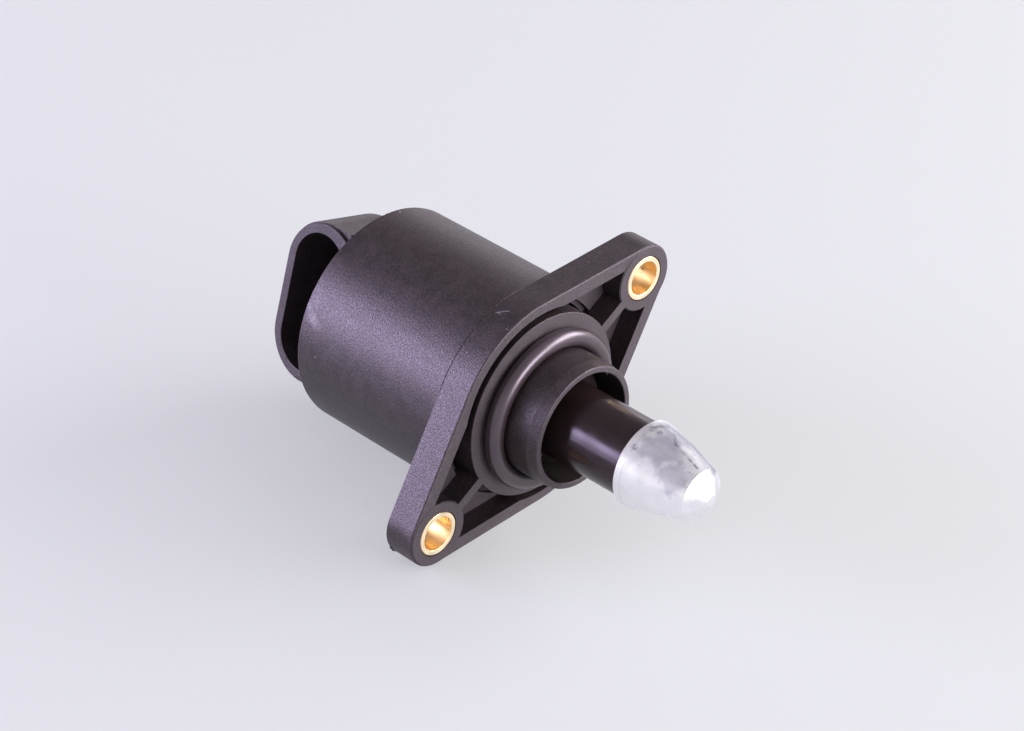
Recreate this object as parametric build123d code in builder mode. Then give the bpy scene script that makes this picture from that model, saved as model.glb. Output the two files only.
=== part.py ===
"""Idle air control valve, in millimetres.

The valve axis is X, pointing to the pintle. The screw bosses' faces lie at x = 0, the origin is on it.
The valve lies on its case with the flange's lower straight edge level, so +Z is up as it rests.
"""
import os
from math import asin, cos, radians, sin

from build123d import *

os.makedirs("parts", exist_ok=True)

# Flange outline, seen along the axis
bolt_spacing = 50.0
body_radius = 17.75
lobe_radius = 5.45
rim_wall = 2.26
rim_round = 0.3
boss_margin = 0.12
boss_edge = 0.18
boss_edge_angle = 45
rib_width = 1.65
moat_wall = 1.6
moat_width = 1.22
groove_width = 0.37

# Flange levels along the axis, below the boss faces
flange_thickness = 5.3
rim_drop = 0.15
pocket_depth = 3.65
moat_depth = 4.5
groove_floor = 1.8

# Disc, spigot collar and the spigot that enters the motor case
disc_thickness = 2.4
disc_wall = 1.53
disc_edge = 0.08
collar_radius = 10.2
collar_length = 8.4
collar_wall = 1.3
collar_round = 0.2
collar_floor = 1.0
lead_in_length = 1.9
lead_in_drop = 0.3
spigot_length = 4.1

# Motor case
body_length = 29.35
body_wall = 1.75
rear_wall = 2.7
rear_round = 0.25
rear_band = 0.55
rear_band_drop = 0.08
seam_chamfer = 0.15
ledge_width = 2.0

# Connector shroud: across the axis, its mouth to the side and lifted from level
mouth_lift = 16.9
shroud_half_length = 13.25
shroud_half_width = 7.6
shroud_wall = 1.55
shroud_case_wall = 2.65
shroud_end_wall = 1.7
shroud_sink = 1.35
shoulder_gap = 2.15
shoulder_back = 2.0
shoulder_drop = 0.03
mouth_reach = 8.75
mouth_round = 0.12
lip_height = 0.6
lip_inset = 0.2
shroud_back = 5.7
shroud_back_round = 3.3
neck_wall = 0.5

# Terminal pins
pin_pitch = 5.0
pin_width = 1.5
pin_thickness = 0.7
pin_recess = 5.75
pin_cover = 0.85
pin_layer_gap = 0.5
floor_cover = 0.25
leg_clearance = 0.4
leg_claw_gap = 0.9
leg_spacing = 1.7

# Screw bushes and O-ring
bush_bore_radius = 2.75
bush_wall = 0.8
bush_edge = 0.1
bush_lead_in = 0.5
bush_lead_angle = 15
cord_radius = 1.4

# Stem, pintle and lead screw, at the rest position
stem_radius = 6.1
stem_rear_x = 0.6
stud_radius = 3.2
stud_length = 6.0
key_width = 3.0
key_height = 0.85
key_length = 1.4
pintle_rear_x = 20.4
pintle_radius = 6.85
pintle_rear_chamfer = 0.25
land_length = 1.5
land_drop = 0.2
taper_length = 9.6
taper_bulge = 0.2
tip_edge_radius = 4.1
nose_length = 2.0
nose_radius = 0.95
screw_radius = 3.0
screw_grip = 9.4
screw_end_gap = 1.0
screw_collar_height = 1.2
screw_collar_inset = 4.4
screw_collar_length = 2.0

# Travel of the stem from its rest position, and what is left at each end
travel_in = 8.5
travel_out = 1.0
travel_spare = 0.3

# Guide tube of the stem
guide_cap = 0.8
guide_front_wall = 0.55
guide_rear_wall = 0.95

# Rotor
nose_journal_radius = 4.6
front_bush_length = 2.0
front_bush_wall = 2.0
hub_margin = 0.4
hub_end_gap = 0.6
magnet_wall = 2.7
rotor_margin = 1.325
nut_length = 8.0
bore_margin = 0.4
shoulder_height = 1.1
shoulder_length = 0.7

# Rear ball bearing and its seat
bearing_bore_radius = 4.0
bearing_radius = 8.0
bearing_width = 4.0
race_wall = 0.78
race_shoulder = 0.7
ball_count = 8
cage_half_width = 0.5
cage_rear = 1.6
cage_front = 0.3
seat_wall = 1.5
seat_short = 0.2
seat_gap = 0.5
washer_height = 0.4
washer_thickness = 0.25
washer_width = 1.0

# Stator
plate_thickness = 1.0
claw_count = 6
claw_end_gap = 1.0
claw_base = 3.4
claw_tip = 2.4
claw_thickness = 0.8
bobbin_wall = 0.7
bobbin_edge = 0.4

# Fits and clearances
press_gap = 0.01
slide_gap = 0.05
key_gap = 0.1
ball_gap = 0.03
air_gap = 0.3

# Places along the axis
seam_x = -flange_thickness
rear_x = seam_x - body_length
rear_wall_x = rear_x + rear_wall
spigot_x = seam_x - spigot_length
groove_x = spigot_x + groove_floor
bearing_rear_x = rear_wall_x + washer_height
bearing_front_x = bearing_rear_x + bearing_width
bearing_x = bearing_rear_x + bearing_width / 2
seat_front_x = bearing_front_x - seat_short
stator_rear_x = seat_front_x + seat_gap
stack_length = (spigot_x - stator_rear_x) / 2
claw_length = stack_length - 2 * plate_thickness - claw_end_gap
stem_stop_x = stem_rear_x - travel_in - travel_spare
guide_rear_x = stem_stop_x - front_bush_length
key_stop_x = stem_rear_x + key_length + travel_out + travel_spare
guide_front_x = key_stop_x + guide_cap
hub_front_x = guide_rear_x - hub_end_gap
hub_rear_x = bearing_front_x + shoulder_length
magnet_rear_x = hub_rear_x + hub_margin
magnet_length = hub_front_x - hub_margin - magnet_rear_x
screw_front_x = stem_rear_x + screw_grip
screw_rear_x = rear_wall_x + travel_in + screw_end_gap
screw_collar_x = stem_rear_x + screw_collar_inset
taper_start_x = pintle_rear_x + land_length
tip_edge_x = taper_start_x + taper_length
nose_x = tip_edge_x + nose_length
shroud_x = rear_x + shroud_sink - shroud_half_width
shoulder_x = rear_x - shoulder_gap
connector_x = shroud_x - (shroud_case_wall - shroud_wall) / 2

# Radii that follow from the walls and fits
boss_radius = lobe_radius - boss_margin
moat_radius = body_radius - moat_wall
disc_radius = moat_radius - moat_width
cavity_radius = body_radius - body_wall
ledge_radius = cavity_radius - ledge_width
spigot_radius = cavity_radius - slide_gap
spigot_bore_radius = disc_radius - disc_wall
collar_bore_radius = collar_radius - collar_wall
bush_radius = bush_bore_radius + bush_wall
bush_seat_radius = bush_radius + press_gap
key_radius = stem_radius + key_height
guide_bore_radius = stem_radius + slide_gap
guide_front_radius = key_radius + key_gap + guide_front_wall
guide_rear_radius = key_radius + key_gap + guide_rear_wall
front_bush_bore_radius = nose_journal_radius + ball_gap
front_bush_radius = front_bush_bore_radius + front_bush_wall
screw_collar_radius = screw_radius + screw_collar_height
nut_radius = screw_radius + slide_gap
hub_bore_radius = screw_radius + bore_margin
shoulder_radius = bearing_bore_radius + shoulder_height
seat_radius = bearing_radius + press_gap
seat_outer_radius = seat_radius + seat_wall
pitch_radius = (bearing_bore_radius + bearing_radius) / 2
ball_radius = (bearing_radius - bearing_bore_radius) / 2 - race_wall - ball_gap
cup_radius = cavity_radius - slide_gap
cup_bore_radius = cup_radius - plate_thickness
magnet_radius = (shoulder_radius + cup_bore_radius) / 2 - rotor_margin
hub_radius = magnet_radius - magnet_wall
claw_radius = magnet_radius + air_gap
bobbin_radius = claw_radius + claw_thickness + air_gap
coil_radius = bobbin_radius + bobbin_wall
bobbin_flange_radius = cup_bore_radius - air_gap
coil_outer_radius = bobbin_flange_radius - bobbin_edge

# Levels of the terminal pins in the shroud's floor, counted along the mouth's direction
inner_pin_level = -shroud_back + pin_cover + pin_thickness / 2
outer_pin_level = inner_pin_level + pin_thickness + pin_layer_gap
socket_floor = outer_pin_level + pin_thickness / 2 + floor_cover
pin_tip = mouth_reach - pin_recess
inner_leg_place = max(seat_outer_radius + leg_clearance, claw_radius + leg_claw_gap)
outer_leg_place = inner_leg_place + leg_spacing
neck_half_length = outer_leg_place + pin_thickness / 2 + neck_wall
neck_back = inner_pin_level - pin_thickness / 2 - neck_wall
neck_depth = outer_pin_level + pin_thickness / 2 + neck_wall - neck_back
neck_start = shoulder_x - neck_wall - connector_x
neck_end = rear_x + shroud_sink / 2 - connector_x

# Outlines of the connector shroud, and the level of the face that its lip stands on
lip_half_length = shroud_half_length - lip_inset
lip_half_width = shroud_half_width - lip_inset
socket_half_length = lip_half_length - shroud_end_wall
socket_half_width = lip_half_width - (shroud_wall + shroud_case_wall) / 2
shoulder_half_length = shroud_half_length - shoulder_drop
lip_foot = mouth_reach - lip_height
shroud_back_fillet = min(shroud_back_round, 0.49 * shroud_half_width)

# Directions: the bolt line's roll sets the flange's lower edge level
bolt_roll = asin((body_radius - lobe_radius) / (bolt_spacing / 2))
bolt_direction = (0, cos(bolt_roll), sin(bolt_roll))
mouth_direction = (0, -cos(radians(mouth_lift)), sin(radians(mouth_lift)))
flange_plane = Plane(origin=(0, 0, 0), x_dir=bolt_direction, z_dir=(1, 0, 0))
connector_plane = Plane(origin=(connector_x, 0, 0), x_dir=(1, 0, 0), z_dir=mouth_direction)
shroud_plane = Plane(origin=(shroud_x, 0, 0), x_dir=(1, 0, 0), z_dir=mouth_direction)
shoulder_plane = Plane(origin=(shroud_x, 0, 0), x_dir=shroud_plane.y_dir, z_dir=(1, 0, 0))
mouth_axis = Axis((0, 0, 0), mouth_direction)

# Places of the screws and of the ribs that run from the disc to the bosses
bolt_places = [(bolt_spacing / 2, 0), (-bolt_spacing / 2, 0)]
rib_length = bolt_spacing / 2 - disc_radius + disc_edge
rib_places = [(side * (bolt_spacing / 2 - rib_length / 2), 0) for side in (1, -1)]


def draw_profile(*points):
    """Draw a closed outline of (x, radius) points as a face, to be turned about the axis."""
    Polygon(*points, align=None)


def draw_flange_outline():
    """Draw the case's circle and the two lobes, joined by their tangents."""
    Circle(body_radius)
    with Locations(*bolt_places):
        Circle(lobe_radius)
    make_hull()


def leave_disc_and_ribs():
    """Take the disc, the bosses and the ribs out of the region that is to be cut."""
    Circle(disc_radius, mode=Mode.SUBTRACT)
    with Locations(*bolt_places):
        Circle(boss_radius, mode=Mode.SUBTRACT)
    with Locations(*rib_places):
        Rectangle(rib_length, rib_width, mode=Mode.SUBTRACT)


def draw_claw():
    """Draw one tapered pole tooth, from its plate's outer face to its tip."""
    tip_x = plate_thickness + claw_length
    base = claw_base / 2
    tip = claw_tip / 2
    Polygon((0, base), (tip_x, tip), (tip_x, -tip), (0, -base), align=None)


def finish(builder, name):
    """Label the piece and write its file."""
    builder.part.label = name
    export_step(builder.part, f"parts/{name}.step")


# Terminal pins: a blade in the socket, a jog in its floor and a leg through the rear wall to the coil
pins = []
leg_length = stator_rear_x + plate_thickness - connector_x + pin_thickness / 2
for number in range(4):
    blade_place = (number - 1.5) * pin_pitch
    side = 1 if blade_place > 0 else -1
    outer = number in (0, 3)
    level = outer_pin_level if outer else inner_pin_level
    leg_place = side * (outer_leg_place if outer else inner_leg_place)
    jog_length = abs(leg_place - blade_place) + pin_thickness
    with BuildPart(connector_plane) as pin:
        with Locations((0, blade_place, level - pin_thickness / 2)):
            blade_length = pin_tip - level + pin_thickness / 2
            Box(pin_thickness, pin_width, blade_length, align=(Align.CENTER, Align.CENTER, Align.MIN))
        with Locations((0, (leg_place + blade_place) / 2, level)):
            Box(pin_thickness, jog_length, pin_thickness)
        with Locations((-pin_thickness / 2, leg_place, level)):
            Box(leg_length, pin_thickness, pin_thickness, align=(Align.MIN, Align.CENTER, Align.CENTER))
    finish(pin, f"terminal_pin_{number + 1}")
    pins.append(pin.part)

# Connector shroud, part of the motor body's moulding: a rounded box, squared towards the case, with a lip
# round its socket and a neck round the pins' legs
with BuildPart() as shroud_form:
    with BuildSketch(shroud_plane.offset(-shroud_back)):
        SlotOverall(2 * shroud_half_length, 2 * shroud_half_width, rotation=90)
    extrude(amount=shroud_back + lip_foot)
    fillet(shroud_form.faces().sort_by(mouth_axis)[0].edges(), radius=shroud_back_fillet)
    with BuildSketch(shoulder_plane):
        with Locations((0, (lip_foot - shoulder_back) / 2)):
            Rectangle(2 * shoulder_half_length, lip_foot + shoulder_back)
    extrude(amount=shoulder_x - shroud_x)
    with BuildSketch(shroud_plane):
        SlotOverall(2 * lip_half_length, 2 * lip_half_width, rotation=90)
    extrude(amount=mouth_reach)
    with BuildSketch(connector_plane.offset(neck_back)):
        with Locations(((neck_start + neck_end) / 2, 0)):
            Rectangle(neck_end - neck_start, 2 * neck_half_length)
    extrude(amount=neck_depth)
    with BuildSketch(connector_plane.offset(socket_floor)):
        SlotOverall(2 * socket_half_length, 2 * socket_half_width, rotation=90)
    extrude(amount=mouth_reach - socket_floor, mode=Mode.SUBTRACT)
    fillet(shroud_form.faces().sort_by(mouth_axis)[-1].edges(), radius=mouth_round)

# Motor body: case, rear wall, bearing seat and connector shroud
with BuildPart() as motor_body:
    with BuildSketch(Plane.XY):
        draw_profile(
            (seam_x, cavity_radius),
            (seam_x, body_radius),
            (rear_x + rear_band, body_radius),
            (rear_x + rear_band, body_radius - rear_band_drop),
            (rear_x, body_radius - rear_band_drop),
            (rear_x, 0),
            (rear_wall_x, 0),
            (rear_wall_x, seat_radius),
            (seat_front_x, seat_radius),
            (seat_front_x, seat_outer_radius),
            (rear_wall_x, seat_outer_radius),
            (rear_wall_x, ledge_radius),
            (stator_rear_x, ledge_radius),
            (stator_rear_x, cavity_radius),
        )
    revolve(axis=Axis.X)
    fillet(motor_body.faces().sort_by(Axis.X)[0].edges(), radius=rear_round)
    seam_edges = motor_body.faces().sort_by(Axis.X)[-1].edges()
    chamfer(seam_edges.sort_by(SortBy.RADIUS)[-1], length=seam_chamfer)
    add(shroud_form.part)
    for pin_solid in pins:
        add(pin_solid, mode=Mode.SUBTRACT)
finish(motor_body, "motor_body")

# Flange cover: flange, pockets, disc, spigot collar and guide tube
with BuildPart() as flange_cover:
    with BuildSketch(flange_plane.offset(seam_x)):
        draw_flange_outline()
    extrude(amount=flange_thickness - rim_drop)
    fillet(flange_cover.faces().sort_by(Axis.X)[-1].edges(), radius=rim_round)
    with BuildSketch(Plane.XY):
        draw_profile(
            (guide_front_x, guide_bore_radius),
            (guide_front_x, guide_front_radius),
            (collar_floor, guide_front_radius),
            (collar_floor, collar_bore_radius),
            (collar_length, collar_bore_radius),
            (collar_length, collar_radius - lead_in_drop),
            (collar_length - lead_in_length, collar_radius),
            (0, collar_radius),
            (0, disc_radius - disc_edge),
            (-disc_edge, disc_radius),
            (seam_x, disc_radius),
            (seam_x, spigot_radius),
            (spigot_x, spigot_radius),
            (spigot_x, spigot_bore_radius),
            (-disc_thickness, spigot_bore_radius),
            (-disc_thickness, guide_rear_radius),
            (guide_rear_x, guide_rear_radius),
            (guide_rear_x, guide_bore_radius),
        )
    revolve(axis=Axis.X)
    fillet(flange_cover.faces().sort_by(Axis.X)[-1].edges(), radius=collar_round)
    # clear the motor's side of the flange block and the stem's way
    with BuildSketch(Plane.XY):
        draw_profile(
            (seam_x, guide_rear_radius),
            (seam_x, spigot_bore_radius),
            (-disc_thickness, spigot_bore_radius),
            (-disc_thickness, guide_rear_radius),
        )
    revolve(axis=Axis.X, mode=Mode.SUBTRACT)
    with BuildSketch(Plane.YZ.offset(guide_rear_x)):
        Circle(guide_bore_radius)
    extrude(amount=guide_front_x - guide_rear_x, mode=Mode.SUBTRACT)
    # pockets in the lobes
    with BuildSketch(flange_plane.offset(-pocket_depth)):
        draw_flange_outline()
        offset(amount=-rim_wall, mode=Mode.REPLACE)
        leave_disc_and_ribs()
    extrude(amount=pocket_depth, mode=Mode.SUBTRACT)
    # moat between rim and disc, and the narrower groove below it
    with BuildSketch(flange_plane.offset(-moat_depth)):
        Circle(moat_radius)
        leave_disc_and_ribs()
    extrude(amount=moat_depth, mode=Mode.SUBTRACT)
    with BuildSketch(flange_plane.offset(groove_x)):
        Circle(disc_radius + groove_width)
        leave_disc_and_ribs()
    extrude(amount=-groove_x, mode=Mode.SUBTRACT)
    # bosses with a broken edge, and ribs, stand up to the disc's level
    with BuildSketch(flange_plane.offset(-pocket_depth)):
        with Locations(*bolt_places):
            Circle(boss_radius)
    extrude(amount=pocket_depth - boss_edge)
    with BuildSketch(flange_plane.offset(-boss_edge)):
        with Locations(*bolt_places):
            Circle(boss_radius)
    extrude(amount=boss_edge, taper=boss_edge_angle)
    with BuildSketch(flange_plane.offset(-pocket_depth)):
        with Locations(*rib_places):
            Rectangle(rib_length, rib_width)
    extrude(amount=pocket_depth)
    with BuildSketch(flange_plane.offset(seam_x)):
        with Locations(*bolt_places):
            Circle(bush_seat_radius)
    extrude(amount=flange_thickness, mode=Mode.SUBTRACT)
    with BuildSketch(flange_plane.offset(-bush_lead_in)):
        with Locations(*bolt_places):
            Circle(bush_seat_radius)
    extrude(amount=bush_lead_in, taper=-bush_lead_angle, mode=Mode.SUBTRACT)
    # seat of the rotor's front bush and the slots for the stem's keys
    with BuildSketch(Plane.YZ.offset(guide_rear_x)):
        Circle(front_bush_radius + press_gap)
    extrude(amount=front_bush_length, mode=Mode.SUBTRACT)
    with BuildSketch(Plane.YZ.offset(guide_rear_x)):
        Rectangle(key_width + 2 * key_gap, 2 * (key_radius + key_gap))
    extrude(amount=key_stop_x - guide_rear_x, mode=Mode.SUBTRACT)
finish(flange_cover, "flange_cover")

# Screw bushes, flush with the boss faces and the flange's back
for place, name in zip(bolt_places, ("bush_upper", "bush_lower")):
    with BuildPart() as bush:
        with BuildSketch(flange_plane.offset(seam_x)):
            with Locations(place):
                Circle(bush_radius)
                Circle(bush_bore_radius, mode=Mode.SUBTRACT)
        extrude(amount=flange_thickness)
        chamfer(bush.faces().sort_by(Axis.X)[-1].edges(), length=bush_edge)
    finish(bush, name)

# O-ring, lying on the disc round the collar
with BuildPart() as o_ring:
    with BuildSketch(Plane.XY):
        with Locations((cord_radius + press_gap, collar_radius + cord_radius + press_gap)):
            Circle(cord_radius)
    revolve(axis=Axis.X)
finish(o_ring, "o_ring")

# Stem, with its keys, the stud for the pintle and the moulded grip on the screw
with BuildPart() as stem:
    with BuildSketch(Plane.XY):
        draw_profile(
            (stem_rear_x, 0),
            (stem_rear_x, stem_radius),
            (pintle_rear_x, stem_radius),
            (pintle_rear_x, stud_radius),
            (pintle_rear_x + stud_length, stud_radius),
            (pintle_rear_x + stud_length, 0),
        )
    revolve(axis=Axis.X)
    with BuildSketch(Plane.YZ.offset(stem_rear_x)):
        Circle(key_radius)
        Rectangle(key_width, 2 * key_radius, mode=Mode.INTERSECT)
    extrude(amount=key_length)
    with BuildSketch(Plane.XY):
        draw_profile(
            (stem_rear_x, 0),
            (stem_rear_x, screw_radius + press_gap),
            (screw_collar_x - press_gap, screw_radius + press_gap),
            (screw_collar_x - press_gap, screw_collar_radius + press_gap),
            (screw_collar_x + screw_collar_length + press_gap, screw_collar_radius + press_gap),
            (screw_collar_x + screw_collar_length + press_gap, screw_radius + press_gap),
            (screw_front_x + press_gap, screw_radius + press_gap),
            (screw_front_x + press_gap, 0),
        )
    revolve(axis=Axis.X, mode=Mode.SUBTRACT)
finish(stem, "stem")

# Pintle: rear land, bulged taper and blunt nose
with BuildPart() as pintle:
    with BuildSketch(Plane.XY):
        with BuildLine():
            Polyline(
                (nose_x, 0),
                (pintle_rear_x, 0),
                (pintle_rear_x, pintle_radius - pintle_rear_chamfer),
                (pintle_rear_x + pintle_rear_chamfer, pintle_radius),
                (taper_start_x, pintle_radius - land_drop),
            )
            ThreePointArc(
                (taper_start_x, pintle_radius - land_drop),
                (
                    (taper_start_x + tip_edge_x) / 2,
                    (pintle_radius - land_drop + tip_edge_radius) / 2 + taper_bulge,
                ),
                (tip_edge_x, tip_edge_radius),
            )
            Polyline((tip_edge_x, tip_edge_radius), (nose_x, nose_radius), (nose_x, 0))
        make_face()
    revolve(axis=Axis.X)
    with BuildSketch(Plane.YZ.offset(pintle_rear_x)):
        Circle(stud_radius + press_gap)
    extrude(amount=stud_length + slide_gap, mode=Mode.SUBTRACT)
finish(pintle, "pintle")

# Lead screw, its thread left plain
with BuildPart() as lead_screw:
    with BuildSketch(Plane.XY):
        draw_profile(
            (screw_rear_x, 0),
            (screw_rear_x, screw_radius),
            (screw_collar_x, screw_radius),
            (screw_collar_x, screw_collar_radius),
            (screw_collar_x + screw_collar_length, screw_collar_radius),
            (screw_collar_x + screw_collar_length, screw_radius),
            (screw_front_x, screw_radius),
            (screw_front_x, 0),
        )
    revolve(axis=Axis.X)
finish(lead_screw, "lead_screw")

# Rotor hub: nose journal, nut, magnet seat and rear journal
with BuildPart() as rotor_hub:
    with BuildSketch(Plane.XY):
        draw_profile(
            (stem_stop_x, hub_bore_radius),
            (stem_stop_x, nose_journal_radius),
            (hub_front_x, nose_journal_radius),
            (hub_front_x, hub_radius),
            (hub_rear_x, hub_radius),
            (hub_rear_x, shoulder_radius),
            (bearing_front_x, shoulder_radius),
            (bearing_front_x, bearing_bore_radius - press_gap),
            (bearing_rear_x, bearing_bore_radius - press_gap),
            (bearing_rear_x, hub_bore_radius),
            (hub_front_x - nut_length, hub_bore_radius),
            (hub_front_x - nut_length, nut_radius),
            (hub_front_x, nut_radius),
            (hub_front_x, hub_bore_radius),
        )
    revolve(axis=Axis.X)
finish(rotor_hub, "rotor_hub")

# Ring magnet on the hub
with BuildPart() as rotor_magnet:
    with BuildSketch(Plane.YZ.offset(magnet_rear_x)):
        Circle(magnet_radius)
        Circle(hub_radius + press_gap, mode=Mode.SUBTRACT)
    extrude(amount=magnet_length)
finish(rotor_magnet, "rotor_magnet")

# Plain front bush of the rotor
with BuildPart() as rotor_front_bush:
    with BuildSketch(Plane.YZ.offset(guide_rear_x)):
        Circle(front_bush_radius)
        Circle(front_bush_bore_radius, mode=Mode.SUBTRACT)
    extrude(amount=front_bush_length)
finish(rotor_front_bush, "rotor_front_bush")

# Rear bearing races, each with its ball groove
race_steps = {
    "bearing_inner_race": (bearing_bore_radius, pitch_radius - race_shoulder),
    "bearing_outer_race": (pitch_radius + race_shoulder, bearing_radius),
}
for name, (inner_radius, outer_radius) in race_steps.items():
    with BuildPart() as race:
        with BuildSketch(Plane.XY):
            draw_profile(
                (bearing_rear_x, inner_radius),
                (bearing_rear_x, outer_radius),
                (bearing_front_x, outer_radius),
                (bearing_front_x, inner_radius),
            )
            with Locations((bearing_x, pitch_radius)):
                Circle(ball_radius + ball_gap, mode=Mode.SUBTRACT)
        revolve(axis=Axis.X)
    finish(race, name)

# Balls and their cage
for number in range(ball_count):
    angle = radians(number * 360 / ball_count)
    with BuildPart(Plane.YZ.offset(bearing_x)) as ball:
        with Locations((pitch_radius * cos(angle), pitch_radius * sin(angle))):
            Sphere(ball_radius)
    finish(ball, f"bearing_ball_{number + 1}")

with BuildPart() as bearing_cage:
    with BuildSketch(Plane.YZ.offset(bearing_x - cage_rear)):
        Circle(pitch_radius + cage_half_width)
        Circle(pitch_radius - cage_half_width, mode=Mode.SUBTRACT)
    extrude(amount=cage_rear + cage_front)
    with Locations(Plane.YZ.offset(bearing_x)):
        with PolarLocations(pitch_radius, ball_count):
            Sphere(ball_radius + slide_gap, mode=Mode.SUBTRACT)
finish(bearing_cage, "bearing_cage")

# Dished spring washer behind the outer race
with BuildPart() as preload_washer:
    with BuildSketch(Plane.XY):
        draw_profile(
            (rear_wall_x, bearing_radius - slide_gap),
            (rear_wall_x + washer_thickness, bearing_radius - slide_gap),
            (bearing_rear_x, bearing_radius - slide_gap - washer_width),
            (bearing_rear_x - washer_thickness, bearing_radius - slide_gap - washer_width),
        )
    revolve(axis=Axis.X)
finish(preload_washer, "preload_washer")

# Stator stacks: each has a claw cup, a claw plate, a bobbin and its winding
claw_step = 360 / claw_count
window_margin = pin_thickness + 2 * air_gap
window_middle = ((inner_leg_place + outer_leg_place) / 2, (inner_pin_level + outer_pin_level) / 2)
window_places = [window_middle, (-window_middle[0], window_middle[1])]
window_size = (leg_spacing + window_margin, outer_pin_level - inner_pin_level + window_margin)
stacks = {
    "front": (spigot_x, -1, 0),
    "rear": (stator_rear_x, 1, claw_step / 4),
}
for name, (end_x, inward, roll) in stacks.items():
    plate_x = end_x + inward * stack_length
    end_plane = Plane(origin=(end_x, 0, 0), x_dir=(0, 1, 0), z_dir=(inward, 0, 0))
    plate_plane = Plane(origin=(plate_x, 0, 0), x_dir=(0, 1, 0), z_dir=(-inward, 0, 0))

    with BuildPart() as cup:
        with BuildSketch(end_plane):
            Circle(cup_radius)
            Circle(claw_radius, mode=Mode.SUBTRACT)
        extrude(amount=plate_thickness)
        with BuildSketch(end_plane):
            Circle(cup_radius)
            Circle(cup_bore_radius, mode=Mode.SUBTRACT)
        extrude(amount=stack_length)
        for index in range(claw_count):
            angle = radians(roll + index * claw_step)
            outward = (0, cos(angle), sin(angle))
            claw_plane = Plane(origin=(end_x, 0, 0), x_dir=(inward, 0, 0), z_dir=outward)
            with BuildSketch(claw_plane.offset(claw_radius)):
                draw_claw()
            extrude(amount=claw_thickness)
        if name == "rear":
            # windows for the legs of the terminal pins
            window_plane = Plane(origin=(end_x, 0, 0), x_dir=connector_plane.y_dir, z_dir=(1, 0, 0))
            with BuildSketch(window_plane):
                with Locations(*window_places):
                    Rectangle(*window_size)
            extrude(amount=plate_thickness, mode=Mode.SUBTRACT)
    finish(cup, f"stator_cup_{name}")

    with BuildPart() as plate:
        with BuildSketch(plate_plane):
            Circle(cup_bore_radius - slide_gap)
            Circle(claw_radius, mode=Mode.SUBTRACT)
        extrude(amount=plate_thickness)
        for index in range(claw_count):
            angle = radians(roll + (index + 0.5) * claw_step)
            outward = (0, cos(angle), sin(angle))
            claw_plane = Plane(origin=(plate_x, 0, 0), x_dir=(-inward, 0, 0), z_dir=outward)
            with BuildSketch(claw_plane.offset(claw_radius)):
                draw_claw()
            extrude(amount=claw_thickness)
    finish(plate, f"stator_plate_{name}")

    bobbin_end_x = end_x + inward * plate_thickness
    bobbin_far_x = plate_x - inward * (plate_thickness + slide_gap)
    flange_end_x = bobbin_end_x + inward * bobbin_wall
    flange_far_x = bobbin_far_x - inward * bobbin_wall
    with BuildPart() as bobbin:
        with BuildSketch(Plane.XY):
            draw_profile(
                (bobbin_end_x, bobbin_radius),
                (bobbin_end_x, bobbin_flange_radius),
                (flange_end_x, bobbin_flange_radius),
                (flange_end_x, coil_radius),
                (flange_far_x, coil_radius),
                (flange_far_x, bobbin_flange_radius),
                (bobbin_far_x, bobbin_flange_radius),
                (bobbin_far_x, bobbin_radius),
            )
        revolve(axis=Axis.X)
    finish(bobbin, f"coil_bobbin_{name}")

    with BuildPart() as winding:
        with BuildSketch(Plane.XY):
            draw_profile(
                (flange_end_x + inward * press_gap, coil_radius + press_gap),
                (flange_end_x + inward * press_gap, coil_outer_radius),
                (flange_far_x - inward * press_gap, coil_outer_radius),
                (flange_far_x - inward * press_gap, coil_radius + press_gap),
            )
        revolve(axis=Axis.X)
    finish(winding, f"coil_winding_{name}")
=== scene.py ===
"""Looks of the idle air control valve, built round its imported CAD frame. Lengths are in metres."""

from math import cos, pi, radians, sin, tan

import bmesh
import bpy
from mathutils import Matrix, Vector


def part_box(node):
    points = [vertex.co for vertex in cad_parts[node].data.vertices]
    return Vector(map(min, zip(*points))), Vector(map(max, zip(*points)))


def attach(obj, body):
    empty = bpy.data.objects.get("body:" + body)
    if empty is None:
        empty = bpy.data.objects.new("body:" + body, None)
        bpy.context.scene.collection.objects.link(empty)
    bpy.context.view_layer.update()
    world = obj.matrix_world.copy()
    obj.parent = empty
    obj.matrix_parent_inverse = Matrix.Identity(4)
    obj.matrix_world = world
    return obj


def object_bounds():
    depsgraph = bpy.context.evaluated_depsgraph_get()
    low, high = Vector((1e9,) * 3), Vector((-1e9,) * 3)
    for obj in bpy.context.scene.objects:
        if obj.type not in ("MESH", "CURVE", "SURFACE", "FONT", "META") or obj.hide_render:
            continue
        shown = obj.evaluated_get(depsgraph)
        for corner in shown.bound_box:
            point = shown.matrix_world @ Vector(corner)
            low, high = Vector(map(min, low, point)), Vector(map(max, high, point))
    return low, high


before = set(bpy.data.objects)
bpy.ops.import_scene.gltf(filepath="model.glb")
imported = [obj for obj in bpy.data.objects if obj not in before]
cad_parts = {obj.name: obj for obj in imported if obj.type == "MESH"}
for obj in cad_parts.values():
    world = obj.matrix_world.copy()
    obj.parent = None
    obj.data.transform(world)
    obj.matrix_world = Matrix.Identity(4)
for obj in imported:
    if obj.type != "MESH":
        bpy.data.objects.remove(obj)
cad_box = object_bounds()

MM = 0.001


def mm(*lengths):
    """A point or a set of sizes, given in millimetres."""
    return tuple(length * MM for length in lengths)


# Photograph's frame and the camera that fits it
PHOTO_WIDTH = 1024
FOCAL_PIXELS = 3110.5
SENSOR_WIDTH = 36.0
NEAR_CLIP = 0.01
CAMERA_PLACE = Vector((259.85, -271.97, 267.98)) * MM
CAMERA_RIGHT = Vector((0.7121, 0.7020, 0.0050))
CAMERA_DOWN = Vector((0.4031, -0.4030, -0.8216))

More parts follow.
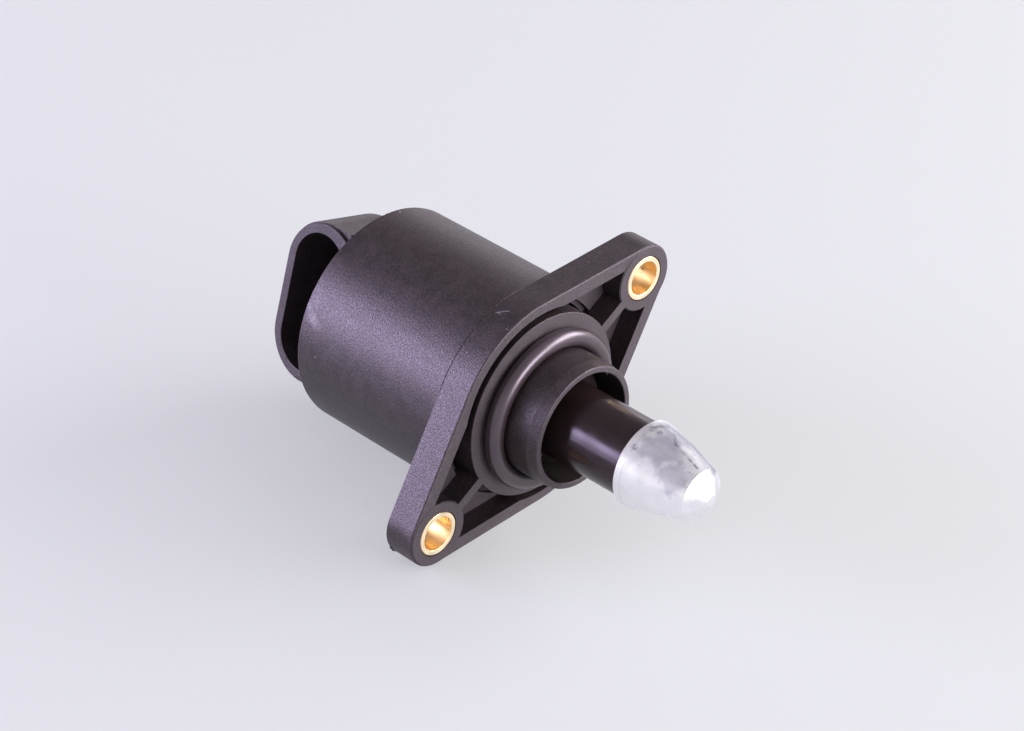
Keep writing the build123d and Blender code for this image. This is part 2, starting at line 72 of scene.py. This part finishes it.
# Places on the solids that the looks refer to
FLOOR_LEVEL = cad_box[0][2]
SEAM_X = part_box("motor_body")[1].x
CASE_LENGTH = 29.35 * MM
REAR_BAND = 0.55 * MM
PARTING_X = SEAM_X - CASE_LENGTH + REAR_BAND
COLLAR_BORE = 8.9 * MM
COLLAR_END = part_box("flange_cover")[1].x
LOBE_RADIUS = 5.45 * MM
LOWER_LOBE = mm(-21.76, -12.3)
TOOL_MARK_SETBACK = 1.3 * MM
TOOL_MARK_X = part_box("pintle")[0].x + TOOL_MARK_SETBACK

# Round flaws on the surfaces, and round patches of painted dark reflection on the pintle: centre and radius
SCUFFS = [
    (mm(-32.76, -16.06, 7.57), 1.5 * MM),
    (mm(-31.4, -16.3, 7.0), 1.2 * MM),
    (mm(-33.94, -15.54, 8.57), 1.2 * MM),
]
SPECKS = [
    (mm(-33.57, 3.20, 17.46), 0.14 * MM),
    (mm(-30.64, -17.61, 2.25), 0.1 * MM),
]
FLECKS = [
    (mm(-4.05, -11.87, 13.20), 0.16 * MM),
    (mm(-0.85, -6.80, 16.39), 0.16 * MM),
    (mm(-4.04, 16.18, 17.75), 0.1 * MM),
    (mm(-3.42, 12.92, 17.75), 0.12 * MM),
]
# painted dark reflections on the pintle: patches
DARK_REFLECTION_PATCHES = [
    (mm(29.1, -3.2, 3.4), 3.1 * MM),
    (mm(25.2, -1.3, 5.7), 3.7 * MM),
]
DARK_REFLECTION_SPOTS = [
    (mm(22.9, 0.47, 6.37), 0.75 * MM),
    (mm(21.83, -3.81, 5.47), 0.8 * MM),
    (mm(21.7, 0.03, 6.7), 0.9 * MM),
]
BORE_SPECKS = [
    (mm(-2.68, 24.42, 11.58), 0.22 * MM),
    (mm(-2.84, 24.18, 10.98), 0.14 * MM),
]

# Long flaws, and streaks of painted dark reflection on the pintle: both ends and width
SCRATCHES = [
    (mm(-4.45, -5.39, 16.91), mm(-3.03, -4.15, 17.26), 0.09 * MM),
    (mm(-4.2, -5.2, 16.97), mm(-3.73, -5.29, 16.94), 0.09 * MM),
]
# painted dark reflections on the pintle: streaks
DARK_REFLECTION_STREAKS = [
    (mm(22.2, 2.6, 6.1), mm(26.4, 2.9, 4.7), 2.0 * MM),
    (mm(26.4, 2.9, 4.7), mm(31.2, 2.3, 3.5), 1.7 * MM),
]
DARK_REFLECTION_LINES = [
    (mm(21.7, 0.4, 6.7), mm(22.3, 2.78, 5.95), 0.45 * MM),
    (mm(22.3, 2.78, 5.95), mm(26.3, 2.55, 4.9), 0.5 * MM),
    (mm(23.8, 2.3, 5.7), mm(25.9, 0.5, 5.6), 0.45 * MM),
    (mm(25.9, 0.5, 5.6), mm(30.6, -0.1, 4.4), 0.3 * MM),
]

# Moulding burrs: steps (x, radius) from their edge to a foot, the crest and the other foot; angles in degrees
COLLAR_BURRS = (("collar_burr_upper", 58.3), ("collar_burr_lower", 181.3))
COLLAR_BURR_PROFILE = (mm(-0.35, 0.02), mm(0.28, -0.42), mm(-0.05, 0.5))
COLLAR_BURR_HALF_ANGLE = 2.4
FLASH_PROFILE = (mm(0.0, -0.05), mm(0.08, 0.3), mm(0.35, -0.05))
FLASH_ANGLES = (203, 229)
RIDGE_STEPS = 24
RIDGE_FULLNESS = 0.6
RIDGE_RAGGED = 0.25
RIDGE_WAVES = (11, 29)

# Tones, linear
FLOOR_COLOUR = (0.52, 0.545, 0.545, 1)
FLOOR_GLOW = (0.81, 0.81, 0.85, 1)
PLASTIC_DARK = (0.0095, 0.006, 0.0058, 1)
PLASTIC_LIGHT = (0.0165, 0.0105, 0.0105, 1)
GLOSS_TINT = (0.98, 0.87, 1.0, 1)
GLOSS_DULL = (0.62, 0.54, 0.62, 1)
# painted light: flange faces turned forward along the axis are lighter
FRONT_FACE_LIGHT = (0.033, 0.0265, 0.0295, 1)
STEM_DARK = (0.013, 0.008, 0.008, 1)
STEM_LIGHT = (0.022, 0.0135, 0.014, 1)
RUBBER_DARK = (0.022, 0.0145, 0.0165, 1)
RUBBER_LIGHT = (0.036, 0.0255, 0.0295, 1)
ALUMINIUM_DARK = (0.84, 0.84, 0.865, 1)
ALUMINIUM_LIGHT = (0.95, 0.95, 0.965, 1)
BRASS_DARK = (0.82, 0.55, 0.19, 1)
BRASS_LIGHT = (0.92, 0.69, 0.35, 1)
# painted light on the brass end faces
BRASS_END_LIGHT = (0.97, 0.83, 0.58, 1)
ENAMEL_DARK = (0.16, 0.045, 0.015, 1)
ENAMEL_LIGHT = (0.55, 0.2, 0.07, 1)
# dark tone for specks in the brass bore, and painted shade: a line at the case's rear step and the inside of
# the collar's bore
DARK_SPECK_AND_SHADE = (0.006, 0.0035, 0.003, 1)
# painted shade inside the collar's bore: reflections there dulled
BORE_SHADE_GLOSS = (0.35, 0.27, 0.27, 1)
SCUFF = (0.2, 0.185, 0.21, 1)
SPECK = (0.75, 0.72, 0.74, 1)
# greys for the pintle: its tool mark, and its painted dark reflections as patches, streaks and spots
TOOL_MARK_AND_REFLECTION_GREY = (0.6, 0.59, 0.67, 1)
REFLECTION_STREAK_GREY = (0.42, 0.42, 0.47, 1)
REFLECTION_SPOT_GREY = (0.25, 0.25, 0.3, 1)
LAVENDER = (0.77, 0.70, 1.0)
ROSE_WHITE = (1.0, 0.945, 0.985)
HORIZON = (0.96, 0.93, 0.97, 1)
OVERHEAD = (0.62, 0.585, 0.635, 1)
DIM_CORNER = (0.38, 0.355, 0.39, 1)

# Finishes: shares, roughness and the middle part of a noise's range
NOISE_SPAN = (0.3, 0.7)
GRAIN_SPAN = (0.35, 0.65)
GLINT_SPAN = (0.38, 0.64)
SIDE_SPAN = (0.15, 0.45)
GLOSS_LEVEL = 0.95
STEM_GLOSS_LEVEL = 0.32
SIDE_POLISH = 0.13
# rougher inside the collar's bore, along with the painted shade there
BORE_SHADE_ROUGHNESS = 0.85
GLOW_SHARE = 0.45
FLOOR_HALF = 3.0

# Looks of the inner pieces: dark tone, light tone and roughness
INNER_METALS = {
    "tinned": ((0.5, 0.5, 0.48, 1), (0.66, 0.66, 0.64, 1), 0.35),
    "screw_steel_looks": ((0.3, 0.3, 0.31, 1), (0.45, 0.45, 0.46, 1), 0.35),
    "ground_steel": ((0.55, 0.55, 0.56, 1), (0.68, 0.68, 0.69, 1), 0.15),
    "pressed_steel": ((0.35, 0.35, 0.34, 1), (0.5, 0.5, 0.49, 1), 0.4),
    "sintered_bronze": ((0.3, 0.16, 0.07, 1), (0.42, 0.25, 0.12, 1), 0.5),
}
INNER_PLASTICS = {
    "ferrite": ((0.012, 0.012, 0.013, 1), (0.03, 0.03, 0.032, 1), 0.6),
    "hub_looks": ((0.02, 0.02, 0.02, 1), (0.035, 0.035, 0.035, 1), 0.4),
    "bobbin_looks": ((0.5, 0.48, 0.42, 1), (0.62, 0.6, 0.55, 1), 0.5),
}

# Soft lights: name, azimuths and elevations in degrees, distance, radiance and colour
SOFTBOXES = [
    ("left_box_high", (205, 240), (13, 28), 0.6, 15.0, LAVENDER),
    ("left_box_low", (205, 240), (0, 13), 0.6, 7.5, LAVENDER),
    ("back_box", (36, 78), (8, 34), 0.7, 12.0, ROSE_WHITE),
    ("right_box", (-6, 30), (0, 24), 0.7, 11.0, ROSE_WHITE),
    ("rear_box", (95, 150), (0, 12), 0.8, 1.2, ROSE_WHITE),
]

# Sky: how far the view has turned towards straight up, and towards the dim corner, as the tone changes
UP = (0, 0, 1)
UP_SPAN = (0.12, 0.75)
DIM_WAY = (-0.75, 0.25, 0.62)
DIM_SPAN = (0.65, 0.95)


class Shader:
    """A material's nodes, with short calls for the few kinds that the looks use."""

    def __init__(self, name):
        self.material = bpy.data.materials.new(name)
        self.material.use_nodes = True
        self.tree = self.material.node_tree
        self.surface = self.tree.nodes["Principled BSDF"]
        self.place = self.add("ShaderNodeTexCoord").outputs["Object"]

    def add(self, kind, **settings):
        node = self.tree.nodes.new(kind)
        for key, value in settings.items():
            setattr(node, key, value)
        return node

    def feed(self, socket, value):
        """Join an output to a socket, or set the socket to a plain value."""
        if isinstance(value, bpy.types.NodeSocket):
            self.tree.links.new(value, socket)
        else:
            socket.default_value = value

    def set(self, **values):
        """Set the surface shader's own sockets, with _ for a space in a socket's name."""
        for key, value in values.items():
            self.feed(self.surface.inputs[key.replace("_", " ")], value)

    def so_far(self, name):
        """What feeds one of the surface shader's sockets now."""
        return self.surface.inputs[name].links[0].from_socket

    def math(self, operation, first, second=0.0, clamp=False):
        node = self.add("ShaderNodeMath", operation=operation, use_clamp=clamp)
        self.feed(node.inputs[0], first)
        self.feed(node.inputs[1], second)
        return node.outputs[0]

    def weighted(self, first, share, second):
        """The first value by its share, and the second by the rest."""
        return self.math("ADD", self.math("MULTIPLY", first, share), self.math("MULTIPLY", second, 1 - share))

    def span(self, value, low, high, to_low=0.0, to_high=1.0):
        """Map low..high smoothly to to_low..to_high."""
        node = self.add("ShaderNodeMapRange", interpolation_type="SMOOTHSTEP")
        self.feed(node.inputs["Value"], value)
        for key, number in (("From Min", low), ("From Max", high), ("To Min", to_low), ("To Max", to_high)):
            self.feed(node.inputs[key], number)
        return node.outputs["Result"]

    def noise(self, grain, detail=2.0, roughness=0.5, place=None):
        """Noise whose spots are about grain metres across."""
        node = self.add("ShaderNodeTexNoise")
        self.feed(node.inputs["Vector"], place or self.place)
        self.feed(node.inputs["Scale"], 1 / grain)
        self.feed(node.inputs["Detail"], detail)
        self.feed(node.inputs["Roughness"], roughness)
        return node.outputs["Fac"]

    def stretched(self, scale):
        """The object's coordinates, scaled along each axis."""
        node = self.add("ShaderNodeMapping")
        self.feed(node.inputs["Vector"], self.place)
        node.inputs["Scale"].default_value = scale
        return node.outputs["Vector"]

    def axes(self, vector):
        node = self.add("ShaderNodeSeparateXYZ")
        self.feed(node.inputs[0], vector)
        return node.outputs

    def facing(self):
        """The surface's normal in the row frame, as three numbers."""
        return self.axes(self.add("ShaderNodeNewGeometry").outputs["Normal"])

    def spot(self, centre, radius, softness=0.6, ragged=0.0):
        """1 at a point of the object, falling to 0 at the radius; the outline wanders by the ragged length."""
        node = self.add("ShaderNodeVectorMath", operation="DISTANCE")
        self.feed(node.inputs[0], self.place)
        node.inputs[1].default_value = centre
        away = node.outputs["Value"]
        if ragged:
            wander = self.math("SUBTRACT", self.noise(ragged, detail=2.0), 0.5)
            away = self.math("ADD", away, self.math("MULTIPLY", wander, 2.5 * ragged))
        return self.span(away, radius * (1 - softness), radius, to_low=1.0, to_high=0.0)

    def scratch(self, start, end, width):
        """1 along a straight line between two points of the object, 0 further off than the width."""
        along = Vector(end) - Vector(start)
        offset = self.add("ShaderNodeVectorMath", operation="SUBTRACT")
        self.feed(offset.inputs[0], self.place)
        offset.inputs[1].default_value = start
        share = self.add("ShaderNodeVectorMath", operation="DOT_PRODUCT")
        self.feed(share.inputs[0], offset.outputs["Vector"])
        share.inputs[1].default_value = along / along.length_squared
        foot = self.add("ShaderNodeVectorMath", operation="SCALE")
        foot.inputs[0].default_value = along
        self.feed(foot.inputs["Scale"], self.math("ADD", share.outputs["Value"], 0.0, clamp=True))
        gap = self.add("ShaderNodeVectorMath", operation="DISTANCE")
        self.feed(gap.inputs[0], offset.outputs["Vector"])
        self.feed(gap.inputs[1], foot.outputs["Vector"])
        return self.span(gap.outputs["Value"], width * 0.3, width, to_low=1.0, to_high=0.0)

    def ring(self, level, core, edge, strength):
        """A thin line round the valve's axis, where x takes a level: full within core of it, gone past edge."""
        off = self.math("ABSOLUTE", self.math("SUBTRACT", self.axes(self.place)[0], level))
        return self.span(off, core, edge, to_low=strength, to_high=0.0)

    def blend(self, factor, first, second):
        node = self.add("ShaderNodeMix", data_type="RGBA")
        self.feed(node.inputs["Factor"], factor)
        self.feed(node.inputs["A"], first)
        self.feed(node.inputs["B"], second)
        return node.outputs["Result"]

    def tint(self, mask, colour):
        """Turn the base colour set so far to another where the mask is 1."""
        self.set(Base_Color=self.blend(mask, self.so_far("Base Color"), colour))

    def bump(self, height, depth, strength):
        node = self.add("ShaderNodeBump")
        self.feed(node.inputs["Height"], height)
        node.inputs["Distance"].default_value = depth
        self.feed(node.inputs["Strength"], strength)
        return node.outputs["Normal"]


def moulded_plastic(name, grain_depth, side_grain_depth):
    """Black glass-filled plastic: mottled gloss and a fine spark-eroded grain, deepest on the sides."""
    s = Shader(name)
    across = s.span(s.math("ABSOLUTE", s.facing()[0]), *SIDE_SPAN, to_low=1.0, to_high=0.0)
    mottle = s.noise(2.5 * MM, detail=3.0, roughness=0.6)
    fine = s.noise(0.22 * MM, detail=0.5)
    grit = s.noise(0.26 * MM, detail=1.0)
    both = s.weighted(mottle, 0.5, fine)
    s.set(Base_Color=s.blend(s.span(both, *GRAIN_SPAN), PLASTIC_DARK, PLASTIC_LIGHT))
    matte = s.span(both, *GRAIN_SPAN, to_low=0.55, to_high=0.65)
    s.set(Roughness=s.math("SUBTRACT", matte, s.math("MULTIPLY", across, SIDE_POLISH)))
    depth = s.span(across, 0.0, 1.0, to_low=grain_depth / side_grain_depth, to_high=1.0)
    s.set(Normal=s.bump(fine, side_grain_depth, depth))
    glint = s.span(s.weighted(grit, 0.7, mottle), *GLINT_SPAN)
    s.set(Specular_IOR_Level=GLOSS_LEVEL, Specular_Tint=s.blend(glint, GLOSS_DULL, GLOSS_TINT))
    return s


def case_plastic():
    """The motor case's plastic, with painted shade along the step of its rear parting line, a scuffed rear edge
    and two pale specks.
    """
    s = moulded_plastic("case_grain", 0.008 * MM, 0.03 * MM)
    # painted shade: a dark line along the step at the rear parting line
    s.tint(s.ring(PARTING_X, core=0.03 * MM, edge=0.1 * MM, strength=0.9), DARK_SPECK_AND_SHADE)
    worn = s.span(s.noise(1.2 * MM, detail=3.0, roughness=0.6), *NOISE_SPAN, to_low=0.1, to_high=0.8)
    for centre, radius in SCUFFS:
        s.tint(s.math("MULTIPLY", s.spot(centre, radius, softness=0.9), worn), SCUFF)
    for centre, radius in SPECKS:
        s.tint(s.spot(centre, radius), SPECK)
    return s.material


def flange_plastic():
    """Flange cover's plastic: painted light on the forward faces, a scratch and flecks on the side, painted
    shade inside the collar.
    """
    s = moulded_plastic("flange_grain", 0.005 * MM, 0.036 * MM)
    # painted light: faces turned forward along the axis are lighter
    s.tint(s.span(s.facing()[0], 0.6, 0.95), FRONT_FACE_LIGHT)
    for start, end, width in SCRATCHES:
        s.tint(s.scratch(start, end, width), SCUFF)
    for centre, radius in FLECKS:
        s.tint(s.spot(centre, radius), SCUFF)
    # painted shade inside the collar's bore: darker colour, rougher and duller reflections
    x, y, z = s.axes(s.place)
    out = s.math("SQRT", s.math("ADD", s.math("MULTIPLY", y, y), s.math("MULTIPLY", z, z)))
    within = s.span(out, COLLAR_BORE, COLLAR_BORE + 0.1 * MM, to_low=1.0, to_high=0.0)
    inside = s.math("MULTIPLY", within, s.span(x, 0.0, 0.5 * MM))
    s.tint(inside, DARK_SPECK_AND_SHADE)
    s.set(Roughness=s.math("MAXIMUM", s.so_far("Roughness"), s.math("MULTIPLY", inside, BORE_SHADE_ROUGHNESS)))
    s.set(Specular_Tint=s.blend(inside, s.so_far("Specular Tint"), BORE_SHADE_GLOSS))
    return s.material


def stem_plastic():
    """Glossy black stem: faint draw lines along the axis."""
    s = Shader("stem_gloss")
    lines = s.noise(0.5 * MM, place=s.stretched((0.05, 1, 1)))
    cloud = s.noise(3 * MM)
    s.set(Base_Color=s.blend(cloud, STEM_DARK, STEM_LIGHT))
    s.set(Roughness=s.span(cloud, *NOISE_SPAN, to_low=0.16, to_high=0.24))
    s.set(Normal=s.bump(lines, depth=0.003 * MM, strength=0.8))
    s.set(Specular_IOR_Level=STEM_GLOSS_LEVEL, Specular_Tint=GLOSS_TINT)
    return s.material


def seal_rubber():
    """Lightly greased rubber."""
    s = Shader("seal_black")
    fine = s.noise(0.25 * MM)
    cloud = s.noise(4 * MM)
    s.set(Base_Color=s.blend(cloud, RUBBER_DARK, RUBBER_LIGHT))
    s.set(Roughness=s.span(cloud, *NOISE_SPAN, to_low=0.28, to_high=0.34))
    s.set(Normal=s.bump(fine, depth=0.006 * MM, strength=0.5))
    s.set(Specular_IOR_Level=GLOSS_LEVEL, Specular_Tint=GLOSS_TINT)
    return s.material


def turned_metal(name, dark, light, roughness, line_depth):
    """Metal turned on a lathe about the valve's axis: fine rings and cloudy reflections."""
    s = Shader(name)
    rings = s.noise(0.12 * MM, detail=3.0, roughness=0.6, place=s.stretched((1, 0.02, 0.02)))
    cloud = s.noise(2.5 * MM, detail=3.0)
    s.set(Base_Color=s.blend(cloud, dark, light))
    s.set(Metallic=1.0)
    s.set(Roughness=s.span(cloud, *NOISE_SPAN, to_low=roughness * 0.8, to_high=roughness * 1.2))
    s.set(Normal=s.bump(rings, line_depth, strength=0.7))
    return s


def pintle_metal():
    """Bright turned aluminium: a fine tool mark near its rear, and grey patches, streaks and spots painted on
    as dark reflections.
    """
    s = turned_metal("pintle_turned", ALUMINIUM_DARK, ALUMINIUM_LIGHT, roughness=0.3, line_depth=0.004 * MM)
    s.tint(s.ring(TOOL_MARK_X, core=0.04 * MM, edge=0.14 * MM, strength=0.35), TOOL_MARK_AND_REFLECTION_GREY)
    patchy = s.span(s.noise(2.2 * MM, place=s.stretched((0.4, 1, 1))), 0.25, 0.6, to_low=0.5, to_high=1.0)
    # painted reflections: grey patches, streaks and spots that stand in for dark reflections
    for centre, radius in DARK_REFLECTION_PATCHES:
        s.tint(s.math("MULTIPLY", s.spot(centre, radius, softness=0.4, ragged=1.6 * MM), patchy), TOOL_MARK_AND_REFLECTION_GREY)
    for start, end, width in DARK_REFLECTION_STREAKS:
        s.tint(s.scratch(start, end, width), REFLECTION_STREAK_GREY)
    # noise that breaks up the painted dark reflection spots and lines
    broken_up = s.span(s.noise(0.6 * MM), 0.35, 0.6, to_low=0.2, to_high=0.75)
    for centre, radius in DARK_REFLECTION_SPOTS:
        s.tint(s.math("MULTIPLY", s.spot(centre, radius, softness=0.9, ragged=0.4 * MM), broken_up), REFLECTION_SPOT_GREY)
    for start, end, width in DARK_REFLECTION_LINES:
        s.tint(s.math("MULTIPLY", s.scratch(start, end, width), broken_up), REFLECTION_SPOT_GREY)
    return s.material


def bush_metal():
    """Turned brass, with painted light on the end faces, and two dark specks in the upper bore."""
    s = turned_metal("bush_turned", BRASS_DARK, BRASS_LIGHT, roughness=0.46, line_depth=0.002 * MM)
    # painted light: the end faces, turned forward along the axis, are lighter
    s.tint(s.span(s.facing()[0], 0.5, 0.9), BRASS_END_LIGHT)
    for centre, radius in BORE_SPECKS:
        s.tint(s.spot(centre, radius), DARK_SPECK_AND_SHADE)
    return s.material


def plain_metal(name):
    """Pressed or drawn metal of the inner pieces: faint mottling and fine grain."""
    dark, light, roughness = INNER_METALS[name]
    s = Shader(name)
    cloud = s.noise(2 * MM, detail=3.0)
    fine = s.noise(0.2 * MM)
    s.set(Base_Color=s.blend(cloud, dark, light))
    s.set(Metallic=1.0)
    s.set(Roughness=s.span(fine, *NOISE_SPAN, to_low=roughness * 0.8, to_high=roughness * 1.2))
    s.set(Normal=s.bump(fine, depth=0.004 * MM, strength=0.5))
    return s.material


def plain_plastic(name):
    """Moulded plastic and sintered ferrite of the inner pieces."""
    dark, light, roughness = INNER_PLASTICS[name]
    s = Shader(name)
    cloud = s.noise(3 * MM, detail=3.0)
    fine = s.noise(0.3 * MM)
    s.set(Base_Color=s.blend(cloud, dark, light))
    s.set(Roughness=s.span(fine, *NOISE_SPAN, to_low=roughness * 0.85, to_high=roughness * 1.15))
    s.set(Normal=s.bump(fine, depth=0.006 * MM, strength=0.5))
    return s.material


def wound_wire():
    """Enamelled copper wire, wound round the axis."""
    s = Shader("winding_looks")
    turns = s.add("ShaderNodeTexWave", wave_type="BANDS", bands_direction="X")
    s.feed(turns.inputs["Vector"], s.place)
    turns.inputs["Scale"].default_value = 1 / (0.25 * MM) / 6.0
    s.set(Base_Color=s.blend(turns.outputs["Fac"], ENAMEL_DARK, ENAMEL_LIGHT))
    s.set(Metallic=1.0)
    s.set(Roughness=0.3)
    s.set(Normal=s.bump(turns.outputs["Fac"], depth=0.1 * MM, strength=0.8))
    return s.material


def paint(material, *nodes):
    for name in nodes:
        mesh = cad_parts[name].data
        mesh.materials.clear()
        mesh.materials.append(material)


def dress_nodes():
    """Give every CAD node its material."""
    ends = ("front", "rear")
    pins = [f"terminal_pin_{number}" for number in range(1, 5)]
    balls = [f"bearing_ball_{number}" for number in range(1, 9)]
    stator = [f"stator_{piece}_{end}" for piece in ("cup", "plate") for end in ends]
    paint(case_plastic(), "motor_body")
    paint(flange_plastic(), "flange_cover")
    paint(stem_plastic(), "stem")
    paint(seal_rubber(), "o_ring")
    paint(pintle_metal(), "pintle")
    paint(bush_metal(), "bush_upper", "bush_lower")
    paint(plain_metal("tinned"), *pins)
    paint(plain_metal("screw_steel_looks"), "lead_screw")
    paint(plain_metal("ground_steel"), "bearing_inner_race", "bearing_outer_race", *balls)
    paint(plain_metal("pressed_steel"), "bearing_cage", "preload_washer", *stator)
    paint(plain_metal("sintered_bronze"), "rotor_front_bush")
    paint(plain_plastic("ferrite"), "rotor_magnet")
    paint(plain_plastic("hub_looks"), "rotor_hub")
    paint(plain_plastic("bobbin_looks"), *[f"coil_bobbin_{end}" for end in ends])
    paint(wound_wire(), *[f"coil_winding_{end}" for end in ends])


def add_ridge(name, centre, edge, profile, angles, material):
    """A moulding burr: a ragged ridge along an arc about a line parallel to X, fading out at both ends.

    edge is the (x, radius) of the edge that it stands on, and profile the steps from there to a foot, the crest
    and the other foot. angles are in degrees.
    """
    low, peak, high = [(edge[0] + x, edge[1] + radius) for x, radius in profile]
    foot = ((low[0] + high[0]) / 2, (low[1] + high[1]) / 2)
    points = []
    for step in range(RIDGE_STEPS + 1):
        share = step / RIDGE_STEPS
        turn = radians(angles[0] + (angles[1] - angles[0]) * share)
        wave = sin(RIDGE_WAVES[0] * share) * cos(RIDGE_WAVES[1] * share)
        rise = sin(pi * share) ** RIDGE_FULLNESS * (1 - RIDGE_RAGGED + RIDGE_RAGGED * wave)
        crest = [start + (end - start) * rise for start, end in zip(foot, peak)]
        for x, radius in (low, crest, high):
            points.append((x, centre[0] + radius * cos(turn), centre[1] + radius * sin(turn)))
    last = 3 * RIDGE_STEPS
    faces = [(0, 1, 2), (last + 2, last + 1, last)]
    for near in range(0, last, 3):
        far = near + 3
        faces += [(near + k, far + k, far + (k + 1) % 3, near + (k + 1) % 3) for k in range(3)]
    mesh = bpy.data.meshes.new(name)
    mesh.from_pydata(points, [], faces)
    shape = bmesh.new()
    shape.from_mesh(mesh)
    bmesh.ops.recalc_face_normals(shape, faces=shape.faces)
    shape.to_mesh(mesh)
    shape.free()
    mesh.materials.append(material)
    piece = bpy.data.objects.new(name, mesh)
    bpy.context.scene.collection.objects.link(piece)
    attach(piece, "housing")


def add_burrs():
    """Two burrs on the collar's end, at its bore, and flash along the back edge of the lower lobe."""
    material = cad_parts["flange_cover"].data.materials[0]
    for name, angle in COLLAR_BURRS:
        angles = (angle - COLLAR_BURR_HALF_ANGLE, angle + COLLAR_BURR_HALF_ANGLE)
        add_ridge(name, (0.0, 0.0), (COLLAR_END, COLLAR_BORE), COLLAR_BURR_PROFILE, angles, material)
    add_ridge("lobe_flash", LOWER_LOBE, (SEAM_X, LOBE_RADIUS), FLASH_PROFILE, FLASH_ANGLES, material)


def add_floor():
    """Pale floor under the valve, level with its lowest line."""
    mesh = bpy.data.meshes.new("floor")
    corners = [(-FLOOR_HALF, -FLOOR_HALF, 0), (FLOOR_HALF, -FLOOR_HALF, 0),
               (FLOOR_HALF, FLOOR_HALF, 0), (-FLOOR_HALF, FLOOR_HALF, 0)]
    mesh.from_pydata(corners, [], [(0, 1, 2, 3)])
    floor = bpy.data.objects.new("floor", mesh)
    floor.location.z = FLOOR_LEVEL
    bpy.context.scene.collection.objects.link(floor)
    s = Shader("floor_pale")
    s.set(Base_Color=FLOOR_COLOUR, Roughness=0.9, Specular_IOR_Level=0.1)
    # a share of the pale tone is the floor's own, for the camera and for gloss; the rest takes the shadow
    rays = s.add("ShaderNodeLightPath").outputs
    seen = s.math("MAXIMUM", rays["Is Glossy Ray"], rays["Is Transmission Ray"])
    seen = s.math("MAXIMUM", rays["Is Camera Ray"], seen)
    glow = s.add("ShaderNodeEmission")
    glow.inputs["Color"].default_value = FLOOR_GLOW
    both = s.add("ShaderNodeMixShader")
    s.feed(both.inputs[0], s.math("MULTIPLY", seen, GLOW_SHARE))
    s.feed(both.inputs[1], s.surface.outputs[0])
    s.feed(both.inputs[2], glow.outputs[0])
    s.feed(s.tree.nodes["Material Output"].inputs["Surface"], both.outputs[0])
    mesh.materials.append(s.material)


def add_softbox(name, azimuths, elevations, distance, radiance, colour):
    """A rectangular soft light that looks at the valve and fills the given spans of direction, in degrees."""
    turn = radians(sum(azimuths) / 2)
    rise = radians(sum(elevations) / 2)
    way = Vector((cos(turn) * cos(rise), sin(turn) * cos(rise), sin(rise)))
    lamp = bpy.data.lights.new(name, "AREA")
    lamp.shape = "RECTANGLE"
    lamp.size = 2 * distance * tan(radians(azimuths[1] - azimuths[0]) / 2)
    lamp.size_y = 2 * distance * tan(radians(elevations[1] - elevations[0]) / 2)
    lamp.energy = radiance * pi * lamp.size * lamp.size_y
    lamp.color = colour
    holder = bpy.data.objects.new(name, lamp)
    holder.location = way * distance
    holder.rotation_euler = way.to_track_quat("Z", "Y").to_euler()
    bpy.context.scene.collection.objects.link(holder)


def add_sky():
    """Studio surroundings: bright round the horizon, dimmer overhead, dimmest high up at the back left."""
    world = bpy.data.worlds.new("studio")
    world.use_nodes = True
    tree = world.node_tree
    way = tree.nodes.new("ShaderNodeTexCoord").outputs["Generated"]

    def towards(direction, low, high):
        """0 to 1 as the view turns towards a direction."""
        dot = tree.nodes.new("ShaderNodeVectorMath")
        dot.operation = "DOT_PRODUCT"
        tree.links.new(way, dot.inputs[0])
        dot.inputs[1].default_value = Vector(direction).normalized()
        share = tree.nodes.new("ShaderNodeMapRange")
        share.interpolation_type = "SMOOTHSTEP"
        tree.links.new(dot.outputs["Value"], share.inputs["Value"])
        share.inputs["From Min"].default_value = low
        share.inputs["From Max"].default_value = high
        return share.outputs["Result"]

    def blend(share, second):
        """A mix towards a second tone, whose first tone is still to be set."""
        mix = tree.nodes.new("ShaderNodeMix")
        mix.data_type = "RGBA"
        tree.links.new(share, mix.inputs["Factor"])
        mix.inputs["B"].default_value = second
        return mix

    overhead = blend(towards(UP, *UP_SPAN), OVERHEAD)
    overhead.inputs["A"].default_value = HORIZON
    corner = blend(towards(DIM_WAY, *DIM_SPAN), DIM_CORNER)
    tree.links.new(overhead.outputs["Result"], corner.inputs["A"])
    tree.links.new(corner.outputs["Result"], tree.nodes["Background"].inputs["Color"])
    bpy.context.scene.world = world


def add_camera():
    """The camera that fits the photograph."""
    camera = bpy.data.cameras.new("camera")
    camera.sensor_fit = "HORIZONTAL"
    camera.sensor_width = SENSOR_WIDTH
    camera.lens = SENSOR_WIDTH * FOCAL_PIXELS / PHOTO_WIDTH
    camera.clip_start = NEAR_CLIP
    right = CAMERA_RIGHT.normalized()
    up = -(CAMERA_DOWN - CAMERA_DOWN.dot(right) * right).normalized()
    back = right.cross(up)
    holder = bpy.data.objects.new("camera", camera)
    turn = Matrix((right, up, back)).transposed()
    holder.matrix_world = Matrix.Translation(CAMERA_PLACE) @ turn.to_4x4()
    bpy.context.scene.collection.objects.link(holder)
    bpy.context.scene.camera = holder


dress_nodes()
add_burrs()
add_floor()
add_sky()
for softbox in SOFTBOXES:
    add_softbox(*softbox)
add_camera()
bpy.context.scene.view_settings.view_transform = "Standard"
